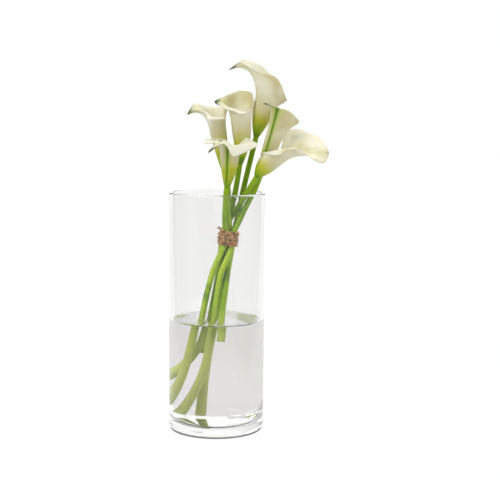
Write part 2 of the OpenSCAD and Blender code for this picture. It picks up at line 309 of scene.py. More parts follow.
class Nodes:
    """Short words for building a node tree."""

    def __init__(self, tree: NodeTree) -> None:
        """Takes the tree to build in."""
        self.tree = tree

    def add(self, kind: str, inputs: dict | None = None, **settings) -> Node:
        """Adds a node.

        Args:
            kind: the node's type without its ShaderNode beginning.
            inputs: values or sockets by input name or number.
            settings: the node's own properties.

        Returns:
            The new node.
        """
        node = self.tree.nodes.new("ShaderNode" + kind)
        for key, value in settings.items():
            setattr(node, key, value)
        for key, value in (inputs or {}).items():
            self.feed(node, key, value)
        return node

    def feed(self, node: Node, key: str | int, value) -> None:
        """Sets an input to a value, or links a socket to it."""
        if isinstance(value, NodeSocket):
            self.tree.links.new(value, node.inputs[key])
        else:
            node.inputs[key].default_value = value

    def math(self, operation: str, *values) -> NodeSocket:
        """The result of a sum on numbers or sockets."""
        return self.add("Math", dict(enumerate(values)), operation=operation).outputs[0]

    def times(self, first, second) -> NodeSocket:
        """The product of two numbers or sockets."""
        return self.math("MULTIPLY", first, second)

    def split(self, vector) -> Sequence[NodeSocket]:
        """The three parts of a vector."""
        return self.add("SeparateXYZ", {0: vector}).outputs

    def step(self, value, low: float, high: float) -> NodeSocket:
        """0 where value is below low, 1 where it is above high, and soft between."""
        inputs = {"Value": value, "From Min": low, "From Max": high}
        return self.add("MapRange", inputs, interpolation_type="SMOOTHSTEP").outputs[0]

    def fall(self, value, low: float, high: float, end: float) -> NodeSocket:
        """1 where value is below low, end where it is above high, and soft between."""
        return self.math("MULTIPLY_ADD", self.step(value, low, high), end - 1.0, 1.0)

    def blend(self, share, first, second) -> NodeSocket:
        """Two colours mixed by share."""
        return self.add("Mix", {0: share, 6: first, 7: second}, data_type="RGBA").outputs[2]

    def coat(self, tone, *layers: tuple) -> NodeSocket:
        """A colour with others laid over it in turn, each given with its share."""
        for share, over in layers:
            tone = self.blend(share, tone, colour(*over))
        return tone

    def ramp(self, value, stops: Sequence[tuple[float, tuple]]) -> NodeSocket:
        """A colour that changes with value through the given stops."""
        node = self.add("ValToRGB", {"Fac": value})
        elements = node.color_ramp.elements
        while len(elements) < len(stops):
            elements.new(0.5)
        for element, (place, tone) in zip(elements, stops):
            element.position = place
            element.color = tone
        return node.outputs[0]

    def noise(self, vector, scale: float, detail: float = 3.0, rough: float = 0.5) -> NodeSocket:
        """Cloudy noise from 0 to 1."""
        inputs = {"Vector": vector, "Scale": scale, "Detail": detail, "Roughness": rough}
        return self.add("TexNoise", inputs).outputs[0]


class Surface(Nodes):
    """One material with its Principled shader and the place that each point has on the object."""

    def __init__(self, name: str) -> None:
        """Makes the material."""
        self.material = bpy.data.materials.new(name)
        self.material.use_nodes = True
        super().__init__(self.material.node_tree)
        self.shader = self.tree.nodes["Principled BSDF"]
        self.output = self.tree.nodes["Material Output"]
        self.place = self.add("TexCoord").outputs["Object"]

    def fibres(self, uv: NodeSocket, stretch: Pair, detail: float, rough: float) -> NodeSocket:
        """Noise from 0 to 1 that is drawn out by stretch on the UV map."""
        lines = self.add("Mapping", {0: uv, 3: (*stretch, 1.0)}).outputs[0]
        return self.noise(lines, 1.0, detail, rough)

    def bump(self, height, distance: float, strength: float) -> None:
        """Raises the surface by height."""
        node = self.add("Bump", {"Height": height, "Distance": distance, "Strength": strength})
        self.tree.links.new(node.outputs[0], self.shader.inputs["Normal"])

    def set(self, **values) -> None:
        """Sets or links the shader's inputs, named with _ for a space."""
        for key, value in values.items():
            self.feed(self.shader, key.replace("_", " "), value)


@dataclass(frozen=True)
class ClearFinish:
    """Glass or water: clear, and open to lamplight so that what is inside stays lit.

    A light path that has bounced many times goes straight out to the surroundings, as it would otherwise end
    black. The rim and the water's edge keep such dark ends, because they draw the fine lines there. Heights
    are in metres, and the three pairs say where those two bands fade, from the water's level and the rim.
    """

    name: str
    bend: float
    tint: Tone
    level: float
    rim: float
    most_bounces: float = 6.5
    most_mirrors: float = 2.5
    through: Triple = (0.97, 0.98, 0.975)
    under_level: Pair = (-0.002, -0.001)
    over_level: Pair = (0.0035, 0.0045)
    under_rim: Pair = (-0.03, -0.015)

    def build(self) -> Material:
        """Returns the material."""
        nodes = Surface(self.name)
        nodes.set(Base_Color=colour(*self.tint), Roughness=0.0, IOR=self.bend, Transmission_Weight=1.0)
        path = nodes.add("LightPath").outputs
        deep = nodes.math("GREATER_THAN", path["Ray Depth"], self.most_bounces)
        echo = nodes.math("GREATER_THAN", path["Glossy Depth"], self.most_mirrors)
        height = nodes.split(nodes.place)[2]
        over_water, over_rim = (nodes.math("SUBTRACT", height, line) for line in (self.level, self.rim))
        underwater_light = nodes.fall(over_water, *self.under_level, 0.0)
        above = nodes.step(over_water, *self.over_level)
        dry = nodes.times(above, nodes.fall(over_rim, *self.under_rim, 0.0))
        stray = nodes.times(nodes.math("MAXIMUM", deep, echo), nodes.math("ADD", underwater_light, dry))
        lamps = nodes.math("MAXIMUM", path["Is Shadow Ray"], stray)
        open_air = nodes.add("BsdfTransparent", {"Color": (*self.through, 1.0)})
        both = nodes.add("MixShader", {0: lamps, 1: nodes.shader.outputs[0], 2: open_air.outputs[0]})
        nodes.tree.links.new(both.outputs[0], nodes.output.inputs["Surface"])
        return nodes.material


@dataclass(frozen=True)
class PetalFinish:
    """Calla lily petal: cream, greener at its foot, along its middle rib and at its tip, with painted shade
    in random creases.
    """

    name: str
    inside: bool = False
    rib_at: float = 0.0
    rib_strength: float = 0.3
    rib_width: float = 0.05
    tip_at: float = 0.89
    cream: Tone = (232, 229, 208)
    shade: Tone = (206, 200, 158)
    # Painted shade: the darker tone laid in random blotches on the petal's upper part, as if shaded in
    # creases.
    fold_shade: Tone = (196, 188, 142)
    vein: Tone = (222, 216, 178)
    rib: Tone = (78, 122, 0)
    halo: Tone = (164, 186, 24)
    tip: Tone = (40, 68, 0)
    glow: float = 0.35

    def build(self) -> Material:
        """Returns the material, which follows the petal's own UV map."""
        nodes = Surface(self.name)
        uv = nodes.add("UVMap").outputs[0]
        side, along = nodes.split(uv)[:2]
        side = nodes.math("MULTIPLY_ADD", side, 2.0, -1.0)
        cloud = nodes.noise(nodes.place, 60.0)
        veins = nodes.fibres(uv, (60.0, 1.6), 4.0, 0.6)
        height = nodes.math("MULTIPLY_ADD", cloud, 0.2, nodes.math("SUBTRACT", along, 0.1))
        stops = [
            (0.0, colour(104, 146, 0)),
            (0.08, colour(150, 178, 0)),
            (0.22, colour(188, 190, 52)),
            (0.38, colour(*self.shade)),
            (0.66, colour(*self.cream)),
        ]
        if self.inside:
            stops = [(0.0, colour(190, 196, 92)), (0.2, colour(226, 224, 166)), (0.5, colour(*self.cream))]
        # Painted shade: random blotches, on the upper part only, darkened as if shaded in creases.
        painted_fold_shade = nodes.step(nodes.noise(nodes.place, 26.0, 2.0), 0.42, 0.7)
        rib = nodes.math("ABSOLUTE", nodes.math("SUBTRACT", side, self.rib_at))
        ragged = nodes.math("MULTIPLY_ADD", veins, self.rib_width, rib)
        halo = nodes.fall(ragged, self.rib_width, 5 * self.rib_width, 0.0)
        middle = nodes.fall(ragged, 0.8 * self.rib_width, 1.9 * self.rib_width, 0.0)
        far = nodes.math("MULTIPLY_ADD", nodes.math("ABSOLUTE", side), -0.6, along)
        point = nodes.step(nodes.math("MULTIPLY_ADD", cloud, 0.05, far), self.tip_at, self.tip_at + 0.085)
        tone = nodes.coat(
            nodes.ramp(height, stops),
            (nodes.times(painted_fold_shade, nodes.step(along, 0.3, 0.6)), self.fold_shade),
            (nodes.times(nodes.step(veins, 0.5, 0.85), 0.4), self.vein),
            (nodes.times(halo, 0.8 * self.rib_strength), self.halo),
            (nodes.times(middle, self.rib_strength), self.rib),
            (nodes.times(point, 0.92), self.tip),
        )
        nodes.set(
            Base_Color=tone,
            Roughness=0.5,
            Subsurface_Weight=self.glow,
            Subsurface_Radius=(0.9, 0.8, 0.5),
            Subsurface_Scale=0.003,
            Specular_IOR_Level=0.35,
        )
        nodes.bump(nodes.math("ADD", veins, nodes.times(middle, 0.8)), 0.00035, 0.5)
        return nodes.material


@dataclass(frozen=True)
class StemFinish:
    """Smooth green stem with faint ribs, paler streaks, a yellower top, and painted light that makes the part
    under water pale.
    """

    name: str = "stem_skin"
    green: Tone = (122, 162, 0)
    pale: Tone = (180, 202, 52)
    dark: Tone = (84, 124, 0)
    top: Tone = (150, 182, 22)
    # Painted light: the part under water is painted paler, as though lit from the sides.
    underwater_light: Tone = (216, 220, 124)
    underwater_light_up_to: Pair = (0.1, 0.17)

    def build(self) -> Material:
        """Returns the material, which follows the stem's own UV map."""
        nodes = Surface(self.name)
        uv = nodes.add("UVMap").outputs[0]
        along = nodes.split(uv)[1]
        streaks = nodes.fibres(uv, (14.0, 2.5), 4.0, 0.55)
        # Painted light: 1 below the water's level, where the stem is painted paler.
        underwater_light_share = nodes.fall(nodes.split(nodes.place)[2], *self.underwater_light_up_to, 0.0)
        tone = nodes.coat(
            colour(*self.green),
            (nodes.step(streaks, 0.42, 0.7), self.pale),
            (nodes.step(nodes.noise(nodes.place, 45.0), 0.45, 0.75), self.dark),
            (nodes.times(nodes.step(along, 0.82, 1.0), 0.75), self.top),
            (nodes.times(underwater_light_share, 0.65), self.underwater_light),
        )
        nodes.set(
            Base_Color=tone,
            Roughness=nodes.math("MULTIPLY_ADD", streaks, 0.2, 0.3),
            Subsurface_Weight=0.12,
            Subsurface_Radius=(0.5, 0.8, 0.2),
            Subsurface_Scale=0.002,
            Specular_IOR_Level=0.3,
        )
        nodes.bump(streaks, 0.0004, 0.5)
        return nodes.material


@dataclass(frozen=True)
class PithFinish:
    """The moist, pale end where a stem was cut."""

    name: str = "stem_cut"

    def build(self) -> Material:
        """Returns the material: pale flesh with fine pores."""
        nodes = Surface(self.name)
        pores = nodes.add("TexVoronoi", {"Vector": nodes.place, "Scale": 1600.0}).outputs[0]
        tone = nodes.ramp(pores, [(0.1, colour(150, 158, 92)), (0.5, colour(222, 224, 178))])
        nodes.set(Base_Color=tone, Roughness=0.35, Subsurface_Weight=0.2, Subsurface_Scale=0.002)
        nodes.bump(pores, 0.0003, 0.5)
        return nodes.material


@dataclass(frozen=True)
class SpikeFinish:
    """The flower's yellow spike, dusty with pollen."""

    name: str = "spadix_pollen"
    pollen: Tone = (252, 226, 130)

    def build(self) -> Material:
        """Returns the material."""
        nodes = Surface(self.name)
        grain = nodes.add("TexVoronoi", {"Vector": nodes.place, "Scale": 1100.0}).outputs[0]
        shades = [(0.0, colour(250, 216, 96)), (0.35, colour(228, 176, 40)), (0.8, colour(168, 112, 16))]
        dust = nodes.step(nodes.noise(nodes.place, 220.0, 5.0), 0.5, 0.75)
        tone = nodes.coat(nodes.ramp(grain, shades), (nodes.times(dust, 0.5), self.pollen))
        nodes.set(Base_Color=tone, Roughness=0.85, Subsurface_Weight=0.15, Subsurface_Scale=0.001)
        nodes.bump(grain, 0.0004, 0.7)
        return nodes.material


@dataclass(frozen=True)
class JuteFinish:
    """Hairy brown jute, its fibres running along each strand, with dark blotches that are partly its own
    darker fibres and partly painted shade.
    """

    name: str = "jute_fibre"
    brown: Tone = (190, 136, 88)
    light: Tone = (248, 212, 160)
    dark: Tone = (84, 52, 28)

    def build(self) -> Material:
        """Returns the material, which follows each strand's own UV map."""
        nodes = Surface(self.name)
        fibres = nodes.fibres(nodes.add("UVMap").outputs[0], (9.0, 60.0), 5.0, 0.7)
        blotch_and_shade_noise = nodes.noise(nodes.place, 330.0, 3.0)
        tone = nodes.coat(
            colour(*self.brown),
            (nodes.step(fibres, 0.38, 0.68), self.light),
            # Dark blotches: partly the jute's own darker fibres, partly painted shade that deepens the
            # strands' contrast.
            (nodes.times(nodes.step(blotch_and_shade_noise, 0.42, 0.62), 0.85), self.dark),
        )
        nodes.set(Base_Color=tone, Roughness=0.95, Specular_IOR_Level=0.2)
        nodes.bump(nodes.math("ADD", fibres, blotch_and_shade_noise), 0.0004, 0.8)
        return nodes.material


# ---- The glass and its water -----------------------------


@dataclass
class Vase:
    """The plain glass cylinder: thick flat foot, even wall that rounds into the floor, and full round rim."""

    diameter: float = 120.0
    height: float = 300.0
    wall: float = 4.6
    floor: float = 9.0
    foot_round: float = 7.0
    floor_round: float = 20.0
    steps: int = 192

    @property
    def outer(self) -> float:
        """Radius outside."""
        return self.diameter / 2

    @property
    def bore(self) -> float:
        """Radius inside."""
        return self.outer - self.wall

    def profile(self) -> list[Pair]:
        """The glass's half outline, from the middle of its underside to the middle of its floor."""
        heel = arc((self.outer - self.foot_round, self.foot_round), self.foot_round, -90, 0, 14)
        lip = arc((self.outer - self.wall / 2, self.height - self.wall / 2), self.wall / 2, 0, 180, 16)
        turn = self.floor_round
        corner = arc((self.bore - turn, self.floor + turn), turn, 0, -90, 24)
        return [(0, 0), *heel, *lip, *corner, (0, self.floor)]

    def build(self, finish: Material) -> Object:
        """Returns the glass."""
        bm = bmesh.new()
        spin_profile(bm, self.profile(), self.steps)
        return place_piece(finish_mesh(bm, "glass_cylinder", [finish]), "vase", "glass", "vase_glass")


@dataclass
class Water:
    """The water: it fills the bore, reaches just into the glass, and creeps up at its edge."""

    vase: Vase
    depth: float = 130.0
    creep: float = 1.6
    creep_reach: float = 3.2
    creep_bow: float = 2.4
    bite: float = 0.2
    fall_share: float = 0.975

    @property
    def level(self) -> float:
        """Height of the still surface."""
        return self.vase.floor + self.depth

    def profile(self) -> list[Pair]:
        """The water's half outline, from the middle of the floor to the middle of its surface."""
        radius, low, turn = self.vase.bore + self.bite, self.vase.floor - self.bite, self.vase.floor_round
        corner = arc((radius - turn, low + turn), turn, -90, 0, 24)
        edge = [(radius, self.level + self.creep)]
        for i in range(1, 9):
            share = i / 8
            rise = self.creep * (1 - share) ** self.creep_bow
            edge.append((radius - self.bite - self.creep_reach * share, self.level + rise))
        return [(0, low), *corner, *edge, (0, self.level)]

    def build(self, finish: Material) -> Object:
        """Returns the water, on a mesh of its own."""
        bm = bmesh.new()
        spin_profile(bm, self.profile(), self.vase.steps)
        water = place_piece(finish_mesh(bm, "water_body", [finish]), "vase", "water", "water")
        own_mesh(water)
        return water


# ---- The flowers -----------------------------------------


@dataclass
class Bundle:
    """Where the stems are tied, and what they share."""

    vase: Vase
    stem: float = 7.2
    stem_foot: float = 8.4
    stem_neck: float = 6.8
    gap: float = 0.9
    tie_drop: float = 57.5
    shift: float = 14.3
    lean: float = 0.15
    half: float = 10.4
    below: tuple[float, ...] = (0.28, 0.56, 0.84)
    above: tuple[float, ...] = (0.34, 0.66, 1.0)

    @property
    def height(self) -> float:
        """Height of the tie's middle."""
        return self.vase.height - self.tie_drop

    def middle(self, z: float) -> Vector:
        """The bundle's middle at a height inside the tie."""
        return Vector((self.shift + self.lean * (z - self.height), 0, z))

    def ring(self, turn: float | None) -> Vector:
        """A stem's place round the bundle's middle; None is the middle itself."""
        if turn is None:
            return Vector((0, 0, 0))
        return polar(self.stem + self.gap, turn)


@dataclass
class Route:
    """A stem's way from its cut foot through the tie to its flower, as in the part's source."""

    foot: Triple
    below: tuple[Pair, ...]
    turn: float | None
    above: tuple[Pair, ...]
    neck: Triple

    def stations(self, tie: Bundle) -> list[Vector]:
        """The places that the stem passes, from the foot up."""
        vase = tie.vase
        off_wall, turn, rise = self.foot
        low = vase.floor + rise
        places = [polar(vase.bore - tie.stem_foot / 2 - off_wall, turn, low)]
        for (x, y), share in zip(self.below, tie.below):
            places.append(Vector((x, y, mix(low, tie.height - tie.half, share))))
        for side in (-1, 0, 1):
            places.append(tie.middle(tie.height + side * tie.half) + tie.ring(self.turn))
        for (x, y), share in zip(self.above, tie.above):
            places.append(Vector((tie.shift + x, y, mix(tie.height, vase.height, share))))
        x, y, rise = self.neck
        places.append(Vector((tie.shift + x, y, vase.height + rise)))
        return places


@dataclass
class Petal:
    """The outline of one rolled petal, as in the part's source, from its stem's top."""

    throat: Triple
    radius: float
    wrap: Pair
    rise: tuple[float, ...]
    spread: tuple[float, ...]
    curl: float
    rim: tuple[Triple, ...]
    rim_at: tuple[float, ...] = (-1, -0.66, -0.36, -0.12, 0, 0.12, 0.36, 0.66, 1)
    line_at: tuple[float, ...] = (-1, -0.5, 0, 0.5, 1)
    crowding: float = 1.3
    swell: float = 1.6
    seam: float = 176.0


@dataclass
class Calla:
    """One calla lily: stem, rolled petal and spike."""

    name: str
    tie: Bundle
    route: Route
    petal: Petal
    petal_t: float = 0.9
    tube_rows: int = 20
    lip_rows: int = 30
    columns: int = 96
    ripple: float = 1.6
    waves: Pair = (5, 2)
    seed: int = 5
    spike_l: float = 31.5
    spike_d: float = 6.0
    spike_foot: float = 4.0
    spike_sides: int = 60
    buds: float = 15.0
    bud_turns: float = 3.0
    bud_rise: float = 0.07
    bud_sink: float = 0.02
    stem_sides: int = 28
    stem_step: float = 3.0
    stations: list[Vector] = field(init=False)

    def __post_init__(self) -> None:
        """Works out the stem's stations once."""
        self.stations = self.route.stations(self.tie)

    @property
    def neck(self) -> Vector:
        """The stem's top."""
        return self.stations[-1]

    @property
    def tube_share(self) -> float:
        """The share of the petal's rows that make the tube below the lip."""
        return self.tube_rows / (self.tube_rows + self.lip_rows)

    def stem_at(self, z: float) -> Vector:
        """The stem's middle at a height."""
        return smooth([s.z for s in self.stations], self.stations, z)

    def neck_way(self) -> Vector:
        """The direction that the stem's top points in."""
        return unit(self.stem_at(self.neck.z) - self.stem_at(self.neck.z - 1))

    def around(self, way: Vector, tip: Vector, turn: float) -> Vector:
        """The direction at a turn in degrees about way, counted from the tip's side."""
        first = unit(tip - way * tip.dot(way))
        return turned(first, way.cross(first), math.radians(turn))

    def on_petal(self, u: float, v: float) -> Vector:
        """The petal's outer face.

        Args:
            u: from -1 at one edge over 0 at the tip's line to 1 at the other edge.
            v: from 0 at the stem to 1 at the rim.

        Returns:
            The point in millimetres.
        """
        petal = self.petal
        neck, throat = self.neck, self.neck + Vector(petal.throat)
        bend = neck + self.neck_way() * (throat - neck).length / 2
        tip = neck + Vector(petal.rim[4]) - throat
        wrap = petal.wrap[0] if u < 0 else petal.wrap[1]
        if v <= self.tube_share:
            s = v / self.tube_share
            way = unit(mix(bend - neck, throat - bend, s))
            radius = mix(self.tie.stem_neck / 2, petal.radius, 1 - (1 - s) ** petal.swell)
            around = self.around(way, tip, u * mix(petal.seam, wrap, s))
            return bow(s, neck, bend, throat) + radius * around
        s = (v - self.tube_share) / (1 - self.tube_share)
        mouth = unit(throat - bend)
        out = self.around(mouth, tip, u * wrap)
        edge = throat + petal.radius * out
        rim = neck + smooth(petal.rim_at, [Vector(p) for p in petal.rim], u)
        rise = straight(petal.line_at, petal.rise, u)
        spread = math.radians(straight(petal.line_at, petal.spread, u))
        crest = edge + rise * turned(mouth, out, spread)
        start = edge + rise / 2 * turned(mouth, out, spread / 3)
        bend_over = mix(rim, crest, petal.curl)
        r = 1 - s
        return r**3 * edge + 3 * s * r**2 * start + 3 * s**2 * r * bend_over + s**3 * rim

    def build_petal(self, outside: Material, inside: Material) -> Object:
        """Returns the petal: one sheet, rolled, rippled at its lip and given its thickness.

        The ripple's noise gets a seed here, as Blender takes the clock otherwise.
        """
        noise.seed_set(self.seed)
        bm = bmesh.new()

        def place(u: float, v: float) -> Vector:
            t = 2 * u - 1
            spot = self.on_petal(math.copysign(abs(t) ** self.petal.crowding, t), v)
            lip = ease((v - self.tube_share) / (1 - self.tube_share)) * min(1.0, 4 * abs(t))
            wave = Vector((self.waves[0] * t, self.waves[1] * v, len(self.name)))
            return spot + self.ripple * lip * noise.noise_vector(wave)

        wrap_sheet(bm, self.columns, self.tube_rows + self.lip_rows, place)
        petal = finish_mesh(bm, self.name + "_petal", [outside, inside])
        thick = petal.modifiers.new("thickness", "SOLIDIFY")
        thick.thickness = self.petal_t * MM
        thick.offset = -1
        thick.material_offset = 1
        thick.use_even_offset = False
        return place_piece(petal, "bunch", "petal", self.name + "_spathe")

    def build_stem(self, skin: Material, cut: Material) -> Object:
        """Returns the stem, its cut foot in the pith's material."""
        low, high = self.stations[0].z, self.neck.z
        count = int((high - low) / self.stem_step)
        path = [self.stem_at(mix(low, high, i / count)) for i in range(count + 1)]
        tie = self.tie

        def radius(v: float) -> float:
            z = mix(low, high, v)
            return straight([low, tie.height, high], [tie.stem_foot, tie.stem, tie.stem_neck], z) / 2

        bm = bmesh.new()
        add_tube(bm, path, radius, self.stem_sides)
        for face in bm.faces:
            if len(face.verts) > 4:
                face.material_index = 1
        stalk = finish_mesh(bm, self.name + "_stalk", [skin, cut])
        return place_piece(stalk, "bunch", "stem", self.name + "_stem")

    def build_spike(self, finish: Material) -> Object:
        """Returns the spike, covered with small buds in a spiral."""
        bm = bmesh.new()
        half = self.spike_d / 2
        root = [(0, 0), (self.spike_foot / 2, 0), (self.spike_foot / 2, self.spike_l / 8)]
        body = [(half, mix(self.spike_l / 4, self.spike_l - half, i / 60)) for i in range(61)]
        dome = arc((0, self.spike_l - half), half, 0, 90, 12)
        spin_profile(bm, [*root, *body, *dome[1:-1], (0, self.spike_l)], self.spike_sides)
        for vert in bm.verts:
            x, y, z = vert.co / MM
            swing = math.atan2(y, x) * self.buds / 2
            if z > self.spike_l / 8 and math.hypot(x, y) > 0.2 * half:
                one, two = math.sin(swing + z * self.bud_turns), math.sin(swing - z * self.bud_turns)
                push = 1 + self.bud_rise * (one * two) - self.bud_sink
                vert.co.x *= push
                vert.co.y *= push
        way = self.neck_way()
        turn = Vector((0, 0, 1)).rotation_difference(way).to_matrix().to_4x4()
        bmesh.ops.transform(bm, matrix=Matrix.Translation(self.neck * MM) @ turn, verts=bm.verts[:])
        spike = finish_mesh(bm, self.name + "_spike", [finish])
        return place_piece(spike, "bunch", "spadix", self.name + "_spadix")


def bouquet(tie: Bundle) -> list[Calla]:
    """The six lilies with their routes and outlines."""
    return [
        Calla(
            "top", tie,
            Route((11, 109, 1.6), ((-10, 20), (-2, 10), (13, 12)), 40,
                  ((10, 9), (14, 14), (17.5, 19)), (33.5, 22, 68.5)),
            Petal(
                (10.5, -2, 37), 14, (172, 172), (14, 34, 58, 34, 14), (20, 16, 15, 16, 20), 0.72,
                ((34, 4, 41), (24.5, 24, 66), (6.5, 24, 88), (-17, 2, 95), (-34, -4, 82.5),
                 (-22.5, -12, 91), (-1, -26, 81), (24.5, -24, 73.5), (37.5, -12, 45)),
            ),
        ),
        Calla(
            "left", tie,
            Route((38, 290, 106), ((7, -7), (11, -6), (14.5, 1)), None,
                  ((0.5, -3.5), (-1, 0.5), (-1, 6)), (-5, 10, 24)),
            Petal(
                (-9.5, 0, 54), 10.5, (172, 172), (20, 26, 30, 26, 20), (10, 12, -2, 12, 10), 0.75,
                ((2, 2, 77.5), (-7, 14, 81), (-23.5, 18, 81.5), (-39.5, 10, 84), (-47.5, 2, 71.5),
                 (-39.5, -4, 77.5), (-25, -13, 74), (-19.5, -22, 66), (-1, -18, 66.5)),
            ),
        ),
        Calla(
            "middle", tie,
            Route((23, 120, 86), ((-8, 24), (-2, 19.5), (5, 13)), 100,
                  ((0.9, 16.2), (4, 15.5), (8, 11)), (13.5, 7, 35)),
            Petal(
                (1.5, -2, 44.5), 12, (172, 172), (22, 28, 38, 28, 22), (10, 8, 0, 8, 10), 0.85,
                ((18, 4, 78), (11.5, 18, 89), (-6, 22, 89.5), (-20.5, 6, 82.5), (-32, -4, 76.5),
                 (-24, -10, 71), (-10, -20, 65.5), (1, -26, 61), (14.5, -16, 68)),
            ),
        ),
        Calla(
            "front", tie,
            Route((2.5, 145, 11.4), ((-28.5, 6), (-19, -2.5), (-5.5, -7)), 235,
                  ((-4.5, -10), (-4, -13), (-3, -16)), (-2, -17, 7.5)),
            Petal(
                (3, -1, 37), 11.5, (150, 185), (18, 24, 27, 26, 18), (22, 12, 2, 12, 16), 0.85,
                ((-3.5, 8, 59), (-24, 6, 59), (-28, -4, 53), (-13.5, -16, 53), (-22, -30, 43),
                 (-5.5, -20, 52.5), (7.5, -20, 38.5), (37, -6, 51), (24, 3, 60)),
            ),
        ),
        Calla(
            "right", tie,
            Route((4, 145, 49), ((-15.5, 10), (-5.5, 2.5), (3, 3)), 161,
                  ((-1.2, 5.2), (11, 0), (22.5, -11)), (34.5, -15, 20)),
            Petal(
                (14, 1, 17.5), 12, (170, 85), (10, 24, 50, 34, 26), (0, 10, 10, 10, 0), 0.7,
                ((3.5, 3, 29), (25.5, -19, 28), (48.5, -23, 35), (79.5, -19, 18), (88, -5, 29.5),
                 (83, 11, 42.5), (63, 31, 54.5), (45.5, 39, 58), (33, 37, 54)),
            ),
        ),
        Calla(
            "rear", tie,
            Route((9, 133, 2.9), ((-12, 8), (-3.5, -5), (5, -8.5)), 318,
                  ((12, -6), (20.5, -3.5), (31, 4)), (39, 6, 20)),
            Petal(
                (13.5, 0, 39), 10, (172, 172), (20, 32, 54, 32, 20), (10, 6, 2, 6, 10), 0.85,
                ((40, 16, 65), (32, 18, 83), (20.5, 4, 83.5), (14, -12, 87), (3, -22, 89.5),
                 (18.5, -18, 85.5), (33.5, -14, 81), (48, -4, 68.5), (36, 8, 58.5)),
            ),
        ),
    ]


# ---- The twine -------------------------------------------


@dataclass
class Twine:
    """Two-ply jute wound round the stems, its turns a little uneven, with fibres standing off it."""

    tie: Bundle
    ring_turns: tuple[float, ...] = (40, 100, 161, 235, 318)
    thick: float = 1.9
    pitch: float = 2.1
    turns: float = 9.0
    gap: float = -0.2
    ply_pitch: float = 5.5
    ply_off: float = 0.25
    ply_r: float = 0.29
    ply_sides: int = 7
    spacing: float = 0.8
    hair_r: float = 0.085
    hair_l: Pair = (1.2, 4.2)
    hairs: int = 420
    seed: int = 7
    end_off: Triple = (-3.0, -3.0, 0.0)
    end_arch: Triple = (0.0, -2.5, 2.0)

    def loop(self, grow: float) -> list[Vector]:
        """One turn round the outer stems, evenly spaced, grow further out than the first layer."""
        reach = self.tie.stem / 2 + self.gap + self.thick / 2 + grow
        centres = [self.tie.ring(turn) for turn in self.ring_turns]
        rough = []
        for i in range(360):
            out = polar(1, i)
            rough.append(max(centres, key=out.dot) + reach * out)
        rough.append(rough[0])
        runs = [0.0]
        for a, b in zip(rough, rough[1:]):
            runs.append(runs[-1] + (b - a).length)
        count = int(runs[-1] / self.spacing)
        even, j = [], 0
        for i in range(count):
            goal = runs[-1] * i / count
            while runs[j + 1] < goal:
                j += 1
            even.append(mix(rough[j], rough[j + 1], (goal - runs[j]) / (runs[j + 1] - runs[j])))
        return even

    def wind(self, turns: float, span: Pair, grow: float, wobble: float, start: float) -> list[Vector]:
        """A winding of the twine round the tie.

        Args:
            turns: how many times round.
            span: heights above the tie's middle where it starts and ends.
            grow: how far it lies outside the first layer.
            wobble: how unevenly it lies.
            start: share of a turn that it begins at.

        Returns:
            The points of its middle line.
        """
        loop = self.loop(grow)
        steps = int(abs(turns) * len(loop))
        path = []
        for i in range(steps + 1):
            share = i / steps
            spot = loop[int((start + math.copysign(i / len(loop), turns)) * len(loop)) % len(loop)]
            drift = noise.noise(Vector((i * 0.045, grow, start * 9))) * wobble
            rise = mix(*span, share) + drift - self.tie.lean * spot.x
            out = unit(Vector((spot.x, spot.y, 0)))
            puff = abs(noise.noise(Vector((i * 0.07, 4.0, grow)))) * wobble * 0.5
            path.append(self.tie.middle(self.tie.height + rise) + spot + out * puff)
        return path

    def strand(self, bm: BMesh, path: list[Vector]) -> None:
        """Adds the two plies that twist round each other along a path."""
        last = len(path) - 1
        run = 0.0
        lines: list[list[Vector]] = [[], []]
        for i, point in enumerate(path):
            run += (path[i] - path[i - 1]).length if i else 0.0
            way = unit(path[min(i + 1, last)] - path[max(i - 1, 0)])
            side = unit(way.cross(Vector((0.15, 0.2, 1))))
            other = way.cross(side)
            for k, line in enumerate(lines):
                turn = math.tau * (run / self.ply_pitch + k / 2)
                line.append(point + self.thick * self.ply_off * turned(side, other, turn))

        def radius(v: float) -> float:
            return self.thick * self.ply_r * min(1.0, 0.25 + 40 * v, 0.25 + 40 * (1 - v))

        for line in lines:
            add_tube(bm, line, radius, self.ply_sides, Vector((0.1, 0.15, 1)))

    def hair(self, bm: BMesh, path: list[Vector], rng: random.Random) -> None:
        """Adds one fibre that leaves the twine and bends away."""
        i = rng.randrange(1, len(path) - 1)
        way = unit(path[i + 1] - path[i - 1])
        middle = self.tie.middle(path[i].z)
        out = unit(Vector((path[i].x - middle.x, path[i].y - middle.y, 0)))
        lift = out * rng.uniform(0.3, 1.0) + way * rng.uniform(-1.2, 1.2)
        lift = unit(lift + Vector((0, 0, rng.uniform(-0.8, 0.8))))
        length = rng.uniform(*self.hair_l)
        bend = Vector([rng.uniform(-0.5, 0.5) for _ in range(3)])
        start = path[i] + out * self.thick * 0.35
        line = [start + lift * length * t + bend * length * t * t for t in (0.0, 0.33, 0.66, 1.0)]
        add_tube(bm, line, lambda v: self.hair_r * (1 - 0.6 * v), 3, unit(lift.orthogonal()), capped=False)

    def build(self, finish: Material, tail: list[Vector]) -> Object:
        """Returns the whole binding.

        Args:
            finish: the jute's material.
            tail: the loose end's middle line.
        """
        rng = random.Random(self.seed)
        half = self.turns * self.pitch / 2
        main = self.wind(self.turns, (-half, half), 0.0, 0.5, 0.0)
        cross = [
            self.wind(-1.6, (half - 0.5, 1.0 - half), self.thick * 0.45, 1.6, 0.31),
            self.wind(2.2, (2.0 - half, half - 1.5), self.thick * 0.5, 1.6, 0.86),
            self.wind(-1.2, (half - 4.0, 3.0 - half), self.thick * 0.6, 1.8, 0.62),
        ]
        bm = bmesh.new()
        for path in (main, *cross, tail):
            self.strand(bm, path)
        for i in range(self.hairs):
            self.hair(bm, (main, *cross, tail)[i % 5], rng)
        return place_piece(finish_mesh(bm, "jute_binding", [finish]), "bunch", "jute", "twine_binding")


# ---- Camera, image points and studio ---------------------


